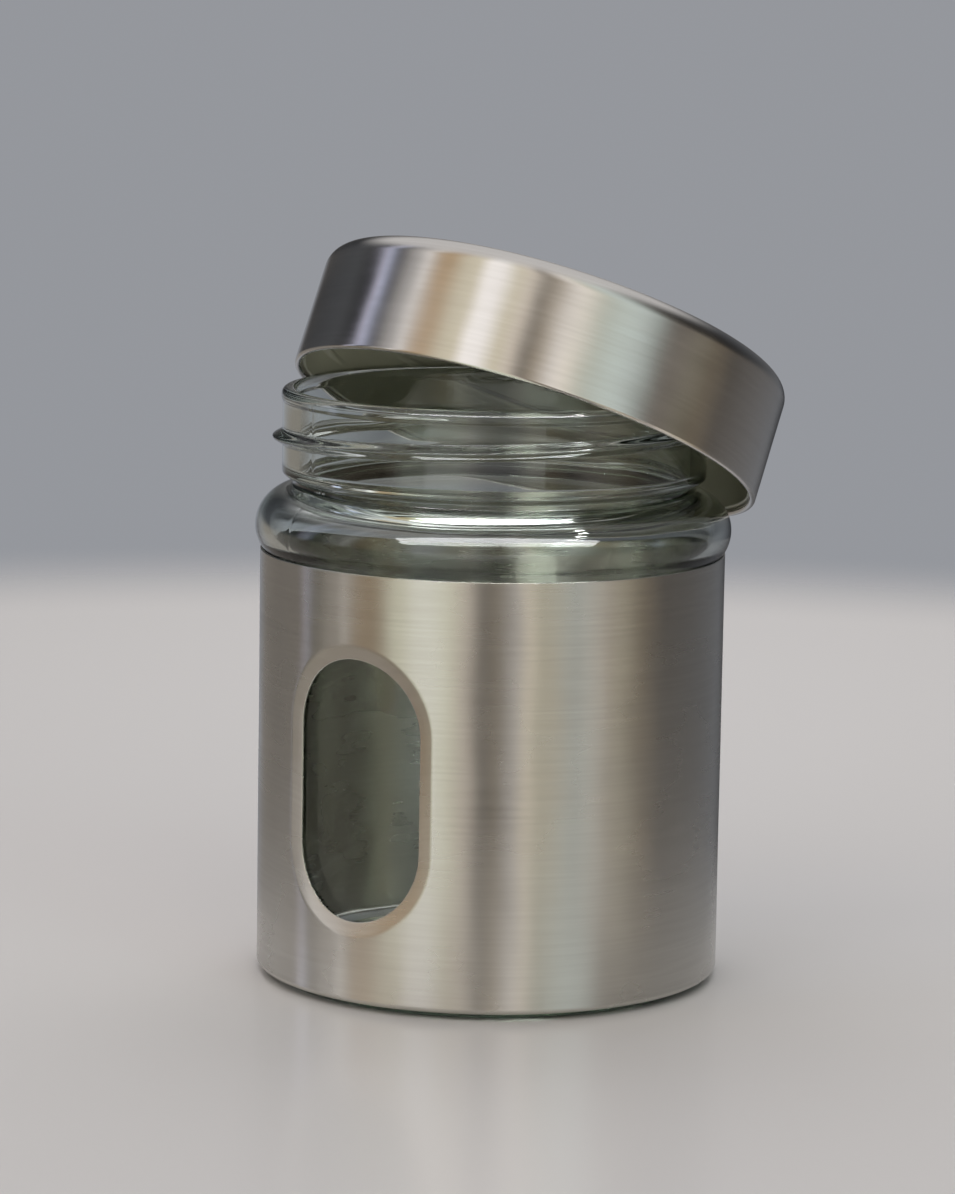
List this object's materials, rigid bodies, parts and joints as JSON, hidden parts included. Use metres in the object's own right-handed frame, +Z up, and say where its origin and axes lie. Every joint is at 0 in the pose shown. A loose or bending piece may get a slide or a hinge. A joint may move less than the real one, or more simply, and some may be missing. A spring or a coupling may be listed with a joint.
{
  "type": "storage jar",
  "caption": "Round glass storage jar in a brushed steel sleeve with an oval window, and a threaded steel lid that leans askew on the open mouth.",
  "frame": {"origin": "centre of the glass base's resting ring, on the jar's axis, at table level", "axes": "+Z up the jar's axis, the sleeve's window faces -Y, and the leaning lid's low side is within 7 degrees of +Y"},
  "size_m": [0.1005, 0.1122, 0.1534],
  "materials": {
    "glass": "clear, faintly green soda glass",
    "sleeve_steel": "brushed round the sleeve",
    "lid_steel": "brushed round the side",
    "liner_plastic": "olive grey moulded plastic",
    "seal_rubber": "pale grey sealing ring"
  },
  "bodies": {
    "jar": {"glass_jar": "glass", "steel_sleeve": "sleeve_steel"},
    "seal": {"lid_seal": "seal_rubber"},
    "lid": {"lid_shell": "lid_steel", "lid_liner": "liner_plastic"}
  },
  "joints": [
    {"name": "lid_lift", "type": "slide", "parent": "jar", "child": "seal", "axis": [0, 0, 1], "range_m": [0, 0.07]},
    {"name": "lid_turn", "type": "hinge", "parent": "seal", "child": "lid", "pos_m": [0.00101, 0.0089, 0.11083], "axis": [0.0472, 0.4146, 0.9088], "continuous": true}
  ]
}
